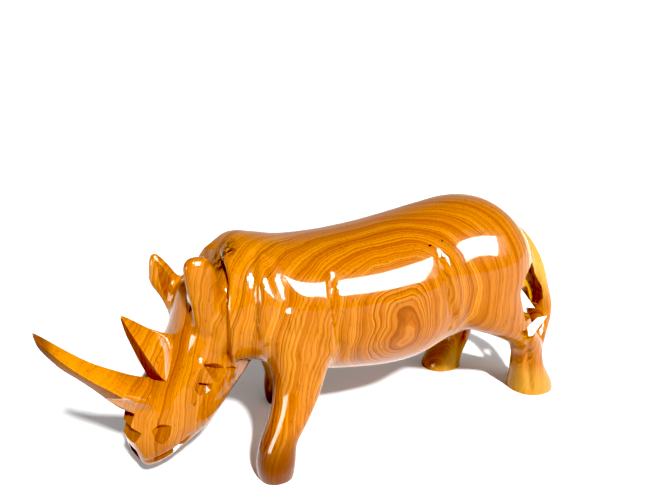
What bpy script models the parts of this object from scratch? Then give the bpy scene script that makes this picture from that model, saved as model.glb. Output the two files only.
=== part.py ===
"""Rhinoceros carved from one block of wood, walking with its head lowered and turned a little to its left.

Run it with blender --background --python part.py, or from Blender's text editor.
Axes: the animal faces -X, its left side is towards -Y, and +Z is up from the soles of its feet.
"""

from math import copysign, cos, pi, radians, sin

import bmesh
import bpy
import numpy as np
from mathutils import Vector
from mathutils.bvhtree import BVHTree

# Driving dimensions, in metres.
LENGTH = 0.235
WIDTH = 0.0707
HEIGHT = 0.0975
HEAD_TURN = radians(12.0)

# The carver's drawing is in millimetres, for a figure of these dimensions.
DRAWN_LENGTH = 235.0
DRAWN_WIDTH = 70.7
DRAWN_HEIGHT = 97.5
DRAWN_CENTRE = (-32.1, -0.2)
NECK_PIVOT_X = -80.0

FUSE_VOXEL = 0.0012
SOFTEN_STEPS = 14
CARVED_FACES = 6400
CHIP_OVERREACH = 1.7
# Share of a fold at each end over which it dies away.
FOLD_FADE = 0.14

ALONG = Vector((1, 0, 0))
SIDEWAYS = Vector((0, 1, 0))
UPWARDS = Vector((0, 0, 1))


def spot(x, y, z):
    """A point of the drawing, in metres from the middle of the figure's base."""
    return Vector((
        (x - DRAWN_CENTRE[0]) * LENGTH / DRAWN_LENGTH,
        (y - DRAWN_CENTRE[1]) * WIDTH / DRAWN_WIDTH,
        z * HEIGHT / DRAWN_HEIGHT,
    ))


def head_spot(x, y, z):
    """A point of the head's drawing, which is made straight ahead and then turned at the neck."""
    dx = x - NECK_PIVOT_X
    return spot(
        NECK_PIVOT_X + dx * cos(HEAD_TURN) - y * sin(HEAD_TURN),
        dx * sin(HEAD_TURN) + y * cos(HEAD_TURN),
        z,
    )


def through(stations, steps):
    """Stations along a Catmull-Rom curve through the given ones."""
    rows = np.array(stations, float)
    padded = np.vstack([2 * rows[0] - rows[1], rows, 2 * rows[-1] - rows[-2]])
    found = []
    for a, b, c, d in zip(padded, padded[1:], padded[2:], padded[3:]):
        for t in np.arange(steps) / steps:
            found.append(0.5 * (2 * b + (c - a) * t + (2 * a - 5 * b + 4 * c - d) * t**2
                                + (3 * b - a - 3 * c + d) * t**3))
    return [*found, rows[-1]]


def ring(centre, across, up, half_across, half_up, half_down, power, sides, place):
    """A closed outline round a centre, rounder or squarer above and below as its two powers say."""
    points = []
    for i in range(sides):
        a = 2 * pi * (i + 0.5) / sides
        c, s = cos(a), sin(a)
        square = 2 / power[0 if s > 0 else 1]
        sideways = copysign(abs(c) ** square, c) * half_across
        upwards = copysign(abs(s) ** square, s) * (half_up if s > 0 else half_down)
        p = centre + across * sideways + up * upwards
        points.append(place(*p))
    return points


def loft(name, rings):
    """A closed mesh through rings of points, capped at both ends."""
    mesh = bmesh.new()
    made = [[mesh.verts.new(p) for p in outline] for outline in rings]
    for here, there in zip(made, made[1:]):
        for i in range(len(here)):
            j = (i + 1) % len(here)
            mesh.faces.new((here[i], here[j], there[j], there[i]))
    mesh.faces.new(made[0])
    mesh.faces.new(made[-1])
    bmesh.ops.recalc_face_normals(mesh, faces=mesh.faces)
    data = bpy.data.meshes.new(name)
    mesh.to_mesh(data)
    mesh.free()
    return bpy.data.objects.new(name, data)


def torso():
    """Neck, shoulders, barrel and rump: x, middle z, half width, height above and below the middle."""
    stations = [
        (-96, 57, 12, 10, 12),
        (-91, 60, 16.5, 14, 16),
        (-86, 62, 20.5, 18, 18.5),
        (-81, 64, 24, 24.2, 21),
        (-75, 65, 27, 27.2, 23),
        (-66, 63, 29.5, 28.1, 24.5),
        (-56, 61, 31, 28.1, 26.5),
        (-46, 60, 31.5, 28.5, 28.5),
        (-32, 59, 32.5, 29.8, 30),
        (-16, 58.5, 33, 31.8, 31.5),
        (0, 59, 32.5, 33.8, 31.8),
        (16, 61, 30, 34.8, 30),
        (32, 62.5, 31.9, 35.3, 26),
        (45, 63, 31.3, 33.2, 23),
        (56, 63.5, 26.6, 26, 20),
        (64, 62.5, 19.8, 19, 17),
        (71, 60.5, 14.5, 12, 12.5),
        (76, 59, 8, 6, 7),
    ]
    rings = []
    for x, z, half, above, below in through(stations, 3):
        centre = Vector((x, 0, z))
        rings.append(ring(centre, SIDEWAYS, UPWARDS, half, above, below, (2.15, 2.15), 32, spot))
    return loft("torso", rings)


def leg(name, stations):
    """A leg through level outlines: x, y, z, half length and half width."""
    rings = []
    for x, y, z, half_length, half_width in through(stations, 3):
        centre = Vector((x, y, z))
        rings.append(ring(centre, ALONG, SIDEWAYS, half_length, half_width, half_width, (2.2, 2.2), 24, spot))
    return loft(name, rings)


def legs():
    return [
        leg("near_foreleg", [
            (-60, -15, 70, 13, 12),
            (-59.5, -18, 57, 14.5, 12.5),
            (-57.8, -20, 47, 13, 11.5),
            (-58.5, -22.5, 38, 10.3, 10),
            (-61.3, -25, 30, 8.8, 8.8),
            (-65.5, -27, 22, 7.7, 7.7),
            (-69.6, -27.8, 15, 7.2, 7.3),
            (-71, -28, 8, 7.6, 7.8),
            (-71, -27.3, 3, 7.5, 7.5),
            (-70.6, -26.7, -2, 6.5, 6.5),
        ]),
        leg("far_foreleg", [
            (-60, 15, 70, 13, 12),
            (-57, 18, 57, 14.5, 12.5),
            (-55, 20, 47, 13.5, 11.5),
            (-53, 22, 38, 11, 10),
            (-50.5, 24, 30, 9.3, 9),
            (-48, 25.5, 22, 7.8, 7.8),
            (-46, 26.5, 15, 7.5, 7.5),
            (-45.5, 27, 8, 8.2, 8.3),
            (-45.5, 27, 3, 8, 8),
            (-45.5, 27, -2, 6.6, 6.6),
        ]),
        leg("near_hind_leg", [
            (38, -12, 74, 21, 16.5),
            (34, -14, 62, 22.5, 18),
            (36, -16, 51, 23, 16.5),
            (41.5, -17.5, 43, 20.5, 14),
            (51.5, -18.5, 35.5, 13, 11.5),
            (60, -19, 29.5, 9.8, 9.3),
            (64.6, -18.8, 24.5, 8, 7.9),
            (66.6, -18.3, 19.5, 7.4, 7.4),
            (67.6, -18, 13.5, 8.1, 8),
            (69.6, -17.8, 8, 9.4, 9),
            (71.2, -17.3, 3, 11, 10.2),
            (71.5, -17.2, -2, 11.4, 10.5),
        ]),
        leg("far_hind_leg", [
            (36, 10, 72, 20, 14),
            (34, 14, 60, 24, 16),
            (33, 16, 49, 22.5, 15),
            (38, 17.5, 41, 19, 13),
            (46, 19, 34, 13.5, 11),
            (52, 20, 28, 9.5, 9),
            (54, 20, 21, 7.8, 7.8),
            (52, 21, 14, 8.2, 8),
            (48.5, 22, 8, 9.3, 8.6),
            (46.5, 22.5, 3, 10.3, 9.2),
            (46, 22.5, -2, 10.4, 9.2),
        ]),
    ]


HEAD_TOP = Vector((-84, 0, 76))
HEAD_DOWN = Vector((-0.517, 0, -0.856))
HEAD_FRONT = Vector((-0.856, 0, 0.517))
HORN_SECTION = 1.12
LEAST_REACH = 0.5


def head():
    """Head from nape to lip: distance down its axis, reach to the face, reach to the jaw, half width."""
    stations = [
        (-3, 2, 14, 8),
        (2, 6, 21, 11),
        (5, 9.5, 24, 11.4),
        (9, 12.3, 28, 12.2),
        (18, 8.6, 30.5, 13),
        (28, 5.6, 29.8, 14.2),
        (38, 5.2, 27, 14.6),
        (46, 7.4, 25.6, 13.9),
        (54, 11, 23.3, 13),
        (60, 11.8, 19.4, 12),
        (66, 6.8, 15.5, 11),
        (71, 1.2, 11.5, 9.2),
        (74.5, -2.5, 7, 6),
    ]
    rings = []
    for down, front, back, half in through(stations, 3):
        set_back = max(0, LEAST_REACH - front)
        centre = HEAD_TOP + HEAD_DOWN * down - HEAD_FRONT * set_back
        rings.append(ring(centre, SIDEWAYS, HEAD_FRONT, half, front + set_back, back - set_back,
                          (1.9, 2.5), 28, head_spot))
    return loft("head", rings)


def horn(name, stations):
    """A horn with a ridge down each side: its rear edge, its ridge and half width, and its front edge."""
    rings = []
    for row in through(stations, 3):
        rear, ridge, half, front = row[0:2], row[2:4], row[4], row[5:7]
        points = []
        for i in range(20):
            a = 2 * pi * i / 20
            c, s = cos(a), sin(a)
            edge = (rear if s > 0 else front) - ridge
            x, z = ridge + edge * abs(s) ** (2 / HORN_SECTION)
            points.append(head_spot(x, copysign(abs(c) ** (2 / HORN_SECTION), c) * half, z))
        rings.append(points)
    return loft(name, rings)


def horns():
    return [
        horn("front_horn", [
            (-150.8, 70.2, -150.9, 69.6, 0.9, -151, 69),
            (-148.3, 68, -149.3, 66, 2.6, -149.5, 63.9),
            (-141, 60.9, -143.2, 58.2, 4.4, -144, 55.5),
            (-134, 54.7, -136.9, 51.4, 5.9, -138, 48.9),
            (-126, 49.2, -130, 45.1, 7.4, -132.4, 42.4),
            (-118, 44.4, -123.4, 39, 9, -127.9, 36.8),
            (-110, 41, -116, 33.4, 11, -121.6, 30.2),
            (-103, 39, -108, 27, 11.5, -113, 23),
        ]),
        horn("rear_horn", [
            (-121.5, 69, -121.7, 68.2, 0.6, -122, 67.6),
            (-117.5, 66, -119.6, 62.5, 2.4, -120.6, 61.5),
            (-112.5, 62, -116.8, 56, 4, -118.4, 55),
            (-107.5, 59, -114.2, 50, 5.6, -116, 48.5),
            (-102, 56, -111.5, 44.5, 7.2, -113.3, 42.5),
            (-96, 51, -107, 39, 8, -109, 36.5),
        ]),
    ]


def cheek_ridges():
    """The ridge that runs from each ear down the cheek to the eye: x, y, z, half width, half thickness."""
    stations = [
        (-92.6, -13, 74, 2.6, 2.6),
        (-91.8, -13.2, 70, 3, 3),
        (-91.2, -13.4, 66, 3.1, 3.1),
        (-91.2, -13.2, 60, 2.9, 2.9),
        (-92.8, -12.6, 54, 2.5, 2.5),
        (-96.5, -12, 49.5, 1.9, 1.9),
    ]
    far = [(x, -y, z, half_width, half_thick) for x, y, z, half_width, half_thick in stations]
    return [swept("cheek_ridge", rows, (2, 2), 12, head_spot, 2) for rows in (stations, far)]


def ears():
    """Two paddles of wood on the crown, the far one pointed: x, off the middle, z, half depth, half thickness."""
    return [
        ear("near_ear", [
            (-93, -11, 60, 6, 4),
            (-94.2, -12.5, 68, 6.2, 4.2),
            (-96, -14, 75.5, 6.4, 3.8),
            (-97.5, -14.8, 82, 6.3, 3.5),
            (-98.8, -15, 86.8, 5.4, 3.2),
            (-99, -15, 89.6, 3.2, 2.2),
        ]),
        ear("far_ear", [
            (-93.5, 10.5, 60, 5.5, 4),
            (-95.5, 12.5, 67, 5.6, 4),
            (-98, 14.3, 73, 6.2, 3.8),
            (-99.6, 14.6, 78, 4.8, 3.2),
            (-101, 14.6, 82, 3, 2.4),
            (-101.8, 14.5, 85, 1.2, 1.2),
        ]),
    ]


def ear(name, stations):
    rings = []
    for x, y, z, half_depth, half_thick in through(stations, 3):
        centre = Vector((x, y, z))
        rings.append(ring(centre, ALONG, SIDEWAYS, half_depth, half_thick, half_thick, (2, 2), 16, head_spot))
    return loft(name, rings)


def tail():
    """Band of wood down the rump that ends on the near hock: x, y, z, half width, half thickness."""
    stations = [
        (44, 0, 88.8, 6, 4.5),
        (57, -1, 83.5, 7, 4.5),
        (67.2, -3, 74.5, 8.5, 4.8),
        (73.8, -5.5, 62, 10, 5.3),
        (78, -7.5, 50, 9, 5),
        (80.8, -10, 39, 7.2, 4.8),
        (76, -14.5, 28.5, 5.4, 4.2),
        (70.5, -18, 21, 4.5, 4),
        (67, -18, 15, 3, 3),
    ]
    return swept("tail", stations, (2.4, 2.4), 16, spot, 3)


def swept(name, stations, power, sides, place, steps):
    """A limb whose outlines stand square to its own path: x, y, z, half width, half thickness."""
    rows = through(stations, steps)
    rings = []
    for i, (x, y, z, half_width, half_thick) in enumerate(rows):
        before, after = rows[max(i - 1, 0)][:3], rows[min(i + 1, len(rows) - 1)][:3]
        ahead = Vector(after - before).normalized()
        across = (SIDEWAYS - ahead * SIDEWAYS.dot(ahead)).normalized()
        outer = ahead.cross(across)
        rings.append(ring(Vector((x, y, z)), across, outer, half_width, half_thick, half_thick,
                          power, sides, place))
    return loft(name, rings)


def baked(source, name):
    """A plain mesh object of what the source shows with its modifiers."""
    graph = bpy.context.evaluated_depsgraph_get()
    data = bpy.data.meshes.new_from_object(source.evaluated_get(graph))
    bpy.data.objects.remove(source)
    made = bpy.data.objects.new(name, data)
    bpy.context.scene.collection.objects.link(made)
    return made


def fused(pieces):
    """The rough shapes carved into one skin, with the joins softened."""
    mesh = bmesh.new()
    for piece in pieces:
        mesh.from_mesh(piece.data)
        bpy.data.objects.remove(piece)
    data = bpy.data.meshes.new("rough")
    mesh.to_mesh(data)
    mesh.free()
    rough = bpy.data.objects.new("rough", data)
    bpy.context.scene.collection.objects.link(rough)
    fuse = rough.modifiers.new("Fuse", "REMESH")
    fuse.mode = "VOXEL"
    fuse.voxel_size = FUSE_VOXEL
    soften = rough.modifiers.new("Soften", "SMOOTH")
    soften.factor = 0.5
    soften.iterations = SOFTEN_STEPS
    return baked(rough, "carving")


def smooth_step(t):
    t = np.clip(t, 0, 1)
    return t * t * (3 - 2 * t)


def surface_of(carved):
    mesh = bmesh.new()
    mesh.from_mesh(carved.data)
    tree = BVHTree.FromBMesh(mesh)
    mesh.free()
    return tree


def fold(carved, path, depth, width, proud=0.0, reach=1.0, proud_side=ALONG):
    """A groove along a path on the skin, in metres, whose one side may stand proud of the other."""
    skin = surface_of(carved)
    route = np.array([skin.find_nearest(Vector(p[:3]))[0] for p in through(path, 4)])
    count = len(carved.data.vertices)
    points = np.empty(count * 3)
    normals = np.empty(count * 3)
    carved.data.vertices.foreach_get("co", points)
    carved.data.vertices.foreach_get("normal", normals)
    points, normals = points.reshape(-1, 3), normals.reshape(-1, 3)
    nearest = np.full(count, np.inf)
    offset = np.zeros((count, 3))
    run = np.zeros(count)
    for i, (start, end) in enumerate(zip(route, route[1:])):
        line = end - start
        t = np.clip((points - start) @ line / max(line @ line, 1e-12), 0, 1)
        away = points - start - t[:, None] * line
        distance = np.linalg.norm(away, axis=1)
        closer = distance < nearest
        nearest[closer] = distance[closer]
        offset[closer] = away[closer]
        run[closer] = (i + t[closer]) / (len(route) - 1)
    fade = smooth_step(np.minimum(run, 1 - run) / FOLD_FADE)
    side = np.tanh(offset @ np.array(proud_side) / (width / 2)) / 2 + 0.5
    shift = proud * np.exp(-((nearest / reach) ** 2)) * side - depth * np.exp(-((nearest / width) ** 2))
    points += normals * (shift * fade)[:, None]
    carved.data.vertices.foreach_set("co", points.ravel())
    carved.data.update()


def mirrored(rows):
    return [(x, -y, z) for x, y, z in rows]


ELBOW = [(-45, -24, 80), (-46.9, -27.4, 74.6), (-47.4, -30, 69.5), (-47.2, -31, 64), (-46.4, -31, 57.7),
         (-44.8, -30, 50.3), (-41.5, -26, 41)]
HIP = [(3.8, -24, 83), (4.7, -28.8, 76), (5.7, -30.4, 71.7), (6.7, -31.7, 65.4), (8, -32, 60),
       (10.5, -31, 53.6), (15, -28, 45)]
NECK = [(-81.5, -1, 86), (-84.6, -9, 83.5), (-86.6, -15, 78.7), (-88.4, -17.2, 73.5), (-90, -18.6, 68.7),
        (-90.2, -19, 61.2), (-89.4, -17.6, 53.8), (-87.5, -15, 43), (-86, -12, 35)]
SHOULDER = [(-71, -14, 88), (-73.5, -18.1, 84.8), (-75.6, -23.9, 76.1), (-76.3, -25.8, 64.5), (-75.6, -24.5, 52)]
SHOULDER_BLADE = [(-71, -15, 87), (-68.7, -22.5, 82.2), (-66.9, -26.4, 76.2), (-65, -28.3, 71.9), (-63.5, -29.5, 66)]
HOCK = [(55.6, -28.5, 37), (58.4, -26.5, 30), (59.8, -25.7, 24), (61.5, -25.4, 15), (63.8, -25.1, 6), (64.5, -25, 0)]
MOUTH = [(-120, -6, 14.6), (-116.6, -8, 14.4), (-110.5, -9, 15.6), (-106, -9.4, 17), (-102, -10, 19.5)]
BROW = [(-97.4, -13.5, 50.5), (-99.4, -14, 48.4), (-101.6, -14.3, 45.6), (-103.4, -14.2, 41.2), (-104, -13.9, 36),
        (-103.6, -13, 32)]
# Each fold: its path, what it is drawn in, its depth and half width, then how far one side stands proud, over what
# reach and on which side of it, in metres.
FOLDS = [
    (ELBOW, spot, 0.0016, 0.0016, 0.0012, 0.008, -ALONG),
    (HIP, spot, 0.0014, 0.0016, 0.0010, 0.007, ALONG),
    (NECK, head_spot, 0.0018, 0.0013, 0.0028, 0.005, ALONG),
    (SHOULDER, spot, 0.0012, 0.0017, 0.0015, 0.007, ALONG),
    (SHOULDER_BLADE, spot, 0.0010, 0.0032),
    (MOUTH, head_spot, 0.0007, 0.0011),
    (BROW, head_spot, -0.0010, 0.0015),
]
HOCK_FOLD = (HOCK, spot, 0.0012, 0.0015)


def folded(carved):
    """The creases that part the limbs, the neck and the lips from what is behind them."""
    for side in (list, mirrored):
        for path, place, *cut in FOLDS:
            fold(carved, [place(*p) for p in side(path)], *cut)
    path, place, *cut = HOCK_FOLD
    fold(carved, [place(*p) for p in path], *cut)


def chip(skin, place, corners, floor, depth):
    """The wedge that a knife lifts out: corners on the skin, and the floor's points below it."""
    floors = []
    for p in floor:
        found, normal = skin.find_nearest(place(*p))[:2]
        floors.append(found - normal * depth)
    middle = sum(floors, Vector()) / len(floors)
    edges = [skin.find_nearest(place(*p))[0] for p in corners]
    return floors + [middle + (edge - middle) * CHIP_OVERREACH for edge in edges]


def prism(place, near, near_y, far, far_y):
    """A bore through the figure from one outline to another: each is x and z at its own y."""
    return [place(x, near_y, z) for x, z in near] + [place(x, far_y, z) for x, z in far]


def helper(made, helpers):
    """An object that only shapes the figure, and is never drawn itself."""
    made.hide_render = True
    made.display_type = "WIRE"
    helpers.objects.link(made)
    return made


def cutter(name, hulls, helpers):
    """One object of the wedges that are cut away together."""
    mesh = bmesh.new()
    for hull in hulls:
        verts = [mesh.verts.new(p) for p in hull]
        made = bmesh.ops.convex_hull(mesh, input=verts)
        inside = {v for v in made["geom_interior"] if isinstance(v, bmesh.types.BMVert)}
        bmesh.ops.delete(mesh, geom=list(inside), context="VERTS")
    bmesh.ops.recalc_face_normals(mesh, faces=mesh.faces)
    data = bpy.data.meshes.new(name)
    mesh.to_mesh(data)
    mesh.free()
    return helper(bpy.data.objects.new(name, data), helpers)


def face_chips(skin):
    """The eyes, the nostrils and the mouth, alike on both sides of the head."""
    rows = [
        # eye: the pocket behind the eyeball, the one below it and the groove in front of it
        ([(-97.4, -14, 48), (-92.8, -14, 47), (-88, -14, 43.2), (-93, -14, 39.4)],
         [(-95.6, -14, 45.8), (-91, -14, 43.4)], 0.0026),
        ([(-100.2, -14, 41.6), (-95.2, -14, 39.4), (-96, -14, 37), (-99.8, -14, 36.2)],
         [(-99, -14, 40.2), (-96.6, -14, 39)], 0.0024),
        ([(-98.8, -14, 47.4), (-100.3, -14, 41.8), (-100, -14, 36.6), (-102.8, -14, 40.4)],
         [(-100.8, -14, 43.2), (-101.2, -14, 40)], 0.0017),
        # nostril
        ([(-118.5, -10, 26.1), (-115.3, -11.8, 29), (-111.8, -12.2, 27.2), (-112.6, -11.6, 22.8),
          (-114.4, -11, 20.6), (-116.9, -11, 23.6)],
         [(-116.6, -10.4, 26.2), (-113.2, -11.3, 25.6)], 0.0028),
        # mouth: two long cuts, end to end
        ([(-104.1, -9.4, 18), (-108.9, -8.9, 16.2), (-104.6, -8.6, 16.2), (-109.4, -8.4, 14.2)],
         [(-105.5, -9, 17), (-108.3, -8.8, 15.5)], 0.0012),
        ([(-110.3, -8.8, 15.9), (-116.6, -8, 14.7), (-110.8, -8.4, 14), (-117, -7.6, 12.6)],
         [(-112, -8.6, 14.9), (-115.6, -8, 13.8)], 0.0012),
    ]
    pairs = []
    for corners, floor, depth in rows:
        near = chip(skin, head_spot, corners, floor, depth)
        pairs.append([near, chip(skin, head_spot, mirrored(corners), mirrored(floor), depth)])
    return pairs


MUZZLE_FLAT = [(-112.5, -14, 36), (-125.4, 0.5, 31.5), (-125, -10.6, 42.8), (-131, 0.5, 39.6),
               (-118, -14, 8), (-130.5, 0.5, 8), (-137, -14, 8), (-140, 0.5, 8)]


def muzzle_flats():
    """The flat below the front horn on each side, which shapes the nose."""
    return [[head_spot(*p) for p in side] for side in (MUZZLE_FLAT, mirrored(MUZZLE_FLAT))]


def muzzle_notches():
    """The notches across the nose and the lips: near end on the skin, then x and z of its mouth and its floor."""
    rows = [
        ((-118.8, -5.3, 30.7), (-131, 36.5), (-131, 18), (-121, 31)),
        ((-120.4, -7, 24.7), (-131, 33), (-131, 8), (-121.4, 23.6)),
        ((-117.5, -8, 15.2), (-126, 18), (-124, 7), (-117.6, 13.8)),
    ]
    hulls = []
    for (x, y, z), top, bottom, floor in rows:
        points = [(x, y, z), (x, -y, z), *((px, 0, pz) for px, pz in (top, bottom, floor))]
        hulls.append([head_spot(*p) for p in points])
    return hulls


def ear_chips(skin):
    far = ([(-101.5, 11.5, 82), (-96.6, 11, 75), (-95, 10.5, 69.5), (-99, 10.5, 66.5), (-101.6, 11, 73)],
           [(-98.6, 11, 73)], 0.0022)
    near = ([(-99.5, -11, 86), (-94.8, -11, 80), (-94, -10, 73), (-98, -9, 70), (-101, -11, 78)],
            [(-98, -11, 78)], 0.0020)
    return [chip(skin, head_spot, *row) for row in (far, near)]


def tail_bores():
    """The opening between thigh and tail: a hollow that goes through at the top and again lower down."""
    upper = prism(spot, [(54.8, 70.5), (50.2, 64.8), (46.6, 58.5), (45.8, 51.8), (47.5, 42.5), (75, 42.5), (75, 45),
                         (66, 57), (60, 66)],
                  -30, [(70.5, 62.5), (64, 60), (60, 50), (62, 41.5), (77, 41), (78, 46), (76, 54)], -9)
    through_it = prism(spot, [(47.1, 59.5), (57.1, 48.2), (47.5, 50.4)],
                       -30, [(82.6, 43.1), (94.4, 29.9), (83, 32.4)], 5)
    lower = prism(spot, [(53.5, 39.6), (54.7, 34.8), (57, 34.2), (65.5, 43), (59, 43)],
                  -30, [(88, 21), (89, 15), (93, 15.5), (102, 24.8), (95, 25)], 3)
    pocket = prism(spot, [(48.5, 38.5), (51.5, 32), (56, 30.5), (61, 34), (62, 38.5)],
                   -32, [(56, 37), (58, 33), (62, 33), (64, 37)], -17)
    return [[bore] for bore in (upper, through_it, lower, pocket)]


def sole():
    return [[spot(x, y, z) for x in (-90, 100) for y in (-50, 50) for z in (-6, 0)]]


def wood():
    made = bpy.data.materials.new("lacquered hardwood")
    made.use_nodes = True
    shader = made.node_tree.nodes["Principled BSDF"]
    shader.inputs["Base Color"].default_value = (0.52, 0.19, 0.035, 1)
    shader.inputs["Roughness"].default_value = 0.28
    shader.inputs["Metallic"].default_value = 0.0
    made.diffuse_color = (0.52, 0.19, 0.035, 1)
    return made


def joined(carving, other, operation):
    """Another object added to the carving, or cut out of it."""
    change = carving.modifiers.new(other.name, "BOOLEAN")
    change.operation = operation
    change.solver = "EXACT"
    change.object = other


def collection(name):
    made = bpy.data.collections.new(name)
    bpy.context.scene.collection.children.link(made)
    return made


def build():
    for old in list(bpy.data.objects):
        bpy.data.objects.remove(old)
    figure = collection("rhinoceros figurine")
    helpers = collection("horns and cutters")
    carving = fused([torso(), head(), tail(), *legs(), *ears(), *cheek_ridges()])
    folded(carving)
    skin = surface_of(carving)
    carving.name = "rhinoceros"
    bpy.context.scene.collection.objects.unlink(carving)
    figure.objects.link(carving)
    thin = carving.modifiers.new("Thin", "DECIMATE")
    thin.ratio = CARVED_FACES / sum(len(face.vertices) - 2 for face in carving.data.polygons)
    for made in horns():
        joined(carving, helper(made, helpers), "UNION")
    cuts = [
        ("soles", sole()),
        ("ear hollows", ear_chips(skin)),
    ]
    cuts += [(f"tail bore {i}", bore) for i, bore in enumerate(tail_bores())]
    cuts += [(f"face chips {i}", pair) for i, pair in enumerate(face_chips(skin))]
    cuts += [(f"muzzle cut {i}", [hull]) for i, hull in enumerate(muzzle_flats() + muzzle_notches())]
    for name, hulls in cuts:
        joined(carving, cutter(name, hulls, helpers), "DIFFERENCE")
    carving.data.materials.append(wood())
    carving.data.shade_smooth()
    carving.data.set_sharp_from_angle(angle=radians(35))


build()
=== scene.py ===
"""A walking rhinoceros carved from one block of lacquered hardwood, on a white table in soft window light.

The carver's drawing is in millimetres: the animal faces -X, its left side is towards -Y, and +Z is up
from its soles.
"""

from math import copysign, cos, pi, radians, sin

import bmesh
import bpy
import numpy as np
from mathutils import Matrix, Vector
from mathutils.bvhtree import BVHTree


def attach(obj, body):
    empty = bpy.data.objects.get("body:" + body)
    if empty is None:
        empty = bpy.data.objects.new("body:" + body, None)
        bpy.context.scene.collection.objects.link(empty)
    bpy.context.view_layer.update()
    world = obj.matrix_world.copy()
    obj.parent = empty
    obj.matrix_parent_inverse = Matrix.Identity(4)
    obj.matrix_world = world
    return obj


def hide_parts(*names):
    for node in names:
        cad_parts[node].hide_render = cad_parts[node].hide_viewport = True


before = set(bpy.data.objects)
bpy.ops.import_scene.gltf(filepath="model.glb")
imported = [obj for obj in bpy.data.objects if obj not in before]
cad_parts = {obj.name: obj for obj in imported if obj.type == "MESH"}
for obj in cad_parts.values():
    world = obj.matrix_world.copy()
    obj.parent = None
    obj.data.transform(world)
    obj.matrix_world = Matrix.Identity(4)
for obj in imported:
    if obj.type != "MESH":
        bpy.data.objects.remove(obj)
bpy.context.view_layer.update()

MM = 0.001
# The place on the drawing that the carving is made about, in millimetres.
DRAWN_CENTRE = (-30.5, -0.2)
NECK_PIVOT_X = -80.0
HEAD_TURN = radians(12.0)

FUSE_VOXEL = 0.0009
# Rounds of sanding: all over, and again where the form is broad.
SOFTEN_CRISP = 8
SOFTEN_BROAD = 17
# How far a knife cut's mouth reaches past the skin, so that it comes out clean.
CHIP_OVERREACH = 1.7
# Share of a fold at each end over which it dies away.
FOLD_FADE = 0.14
# Outlines between two drawn ones.
STEPS = 5
FOLD_STEPS = 4

ALONG = Vector((1, 0, 0))
SIDEWAYS = Vector((0, 1, 0))
UPWARDS = Vector((0, 0, 1))
# From the drawing's origin to the middle of the finished carving, in metres.
TO_THE_MIDDLE = Vector((0.0016, 0, 0))
HEAD_TOP = Vector((-84, 0, 76))
HEAD_DOWN = Vector((-0.517, 0, -0.856))
HEAD_FRONT = Vector((-0.856, 0, 0.517))
HORN_SECTION = 1.12
HORN_SIDES = 40
LEAST_REACH = 0.5


def spot(x, y, z):
    """A point of the drawing, in metres from the place that the carving is made about."""
    return Vector(((x - DRAWN_CENTRE[0]) * MM, (y - DRAWN_CENTRE[1]) * MM, z * MM))


def head_spot(x, y, z):
    """A point of the head's drawing, which is made straight ahead and then turned at the neck."""
    dx = x - NECK_PIVOT_X
    return spot(
        NECK_PIVOT_X + dx * cos(HEAD_TURN) - y * sin(HEAD_TURN),
        dx * sin(HEAD_TURN) + y * cos(HEAD_TURN),
        z,
    )


def through(stations, steps):
    """Stations along a Catmull-Rom curve through the given ones."""
    rows = np.array(stations, float)
    padded = np.vstack([2 * rows[0] - rows[1], rows, 2 * rows[-1] - rows[-2]])
    found = []
    for a, b, c, d in zip(padded, padded[1:], padded[2:], padded[3:]):
        for t in np.arange(steps) / steps:
            found.append(0.5 * (2 * b + (c - a) * t + (2 * a - 5 * b + 4 * c - d) * t**2
                                + (3 * b - a - 3 * c + d) * t**3))
    return [*found, rows[-1]]


def ring(centre, across, up, half_across, half_up, half_down, power, sides, place):
    """A closed outline round a centre, rounder or squarer above and below as its two powers say."""
    points = []
    for i in range(sides):
        a = 2 * pi * (i + 0.5) / sides
        c, s = cos(a), sin(a)
        square = 2 / power[0 if s > 0 else 1]
        sideways = copysign(abs(c) ** square, c) * half_across
        upwards = copysign(abs(s) ** square, s) * (half_up if s > 0 else half_down)
        points.append(place(*(centre + across * sideways + up * upwards)))
    return points


def loft(name, rings):
    """A closed mesh through rings of points, capped at both ends."""
    mesh = bmesh.new()
    made = [[mesh.verts.new(p) for p in outline] for outline in rings]
    for here, there in zip(made, made[1:]):
        for i in range(len(here)):
            j = (i + 1) % len(here)
            mesh.faces.new((here[i], here[j], there[j], there[i]))
    mesh.faces.new(made[0])
    mesh.faces.new(made[-1])
    bmesh.ops.recalc_face_normals(mesh, faces=mesh.faces)
    data = bpy.data.meshes.new(name)
    mesh.to_mesh(data)
    mesh.free()
    return bpy.data.objects.new(name, data)


def torso():
    """Neck, shoulders, barrel and rump: x, middle z, half width, height above and below the middle."""
    stations = [
        (-96, 57, 12, 10, 12),
        (-91, 60, 16.5, 14, 16),
        (-86, 62, 20.5, 18, 18.5),
        (-81, 64, 24, 24.2, 21),
        (-75, 65, 27, 27.2, 23),
        (-66, 63, 29.5, 28.1, 24.5),
        (-56, 61, 31, 28.1, 26.5),
        (-46, 60, 31.5, 28.5, 28.5),
        (-32, 59, 32.5, 29.8, 30),
        (-16, 58.5, 33, 31.8, 31.5),
        (0, 59, 32.5, 33.8, 31.8),
        (16, 61, 30, 34.8, 30),
        (32, 62.5, 31.9, 35.3, 26),
        (45, 63, 31.3, 33.2, 23),
        (56, 63.5, 26.6, 26, 20),
        (64, 62.5, 19.8, 19, 17),
        (71, 60.5, 14.5, 12, 12.5),
        (76, 59, 8, 6, 7),
    ]
    rings = []
    for x, z, half, above, below in through(stations, STEPS):
        rings.append(ring(Vector((x, 0, z)), SIDEWAYS, UPWARDS, half, above, below, (2.15, 2.15), 64, spot))
    return loft("torso", rings)


def leg(name, stations):
    """A leg through level outlines: x, y, z, half length and half width."""
    rings = []
    for x, y, z, half_length, half_width in through(stations, STEPS):
        rings.append(ring(Vector((x, y, z)), ALONG, SIDEWAYS, half_length, half_width, half_width,
                          (2.2, 2.2), 48, spot))
    return loft(name, rings)


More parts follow.
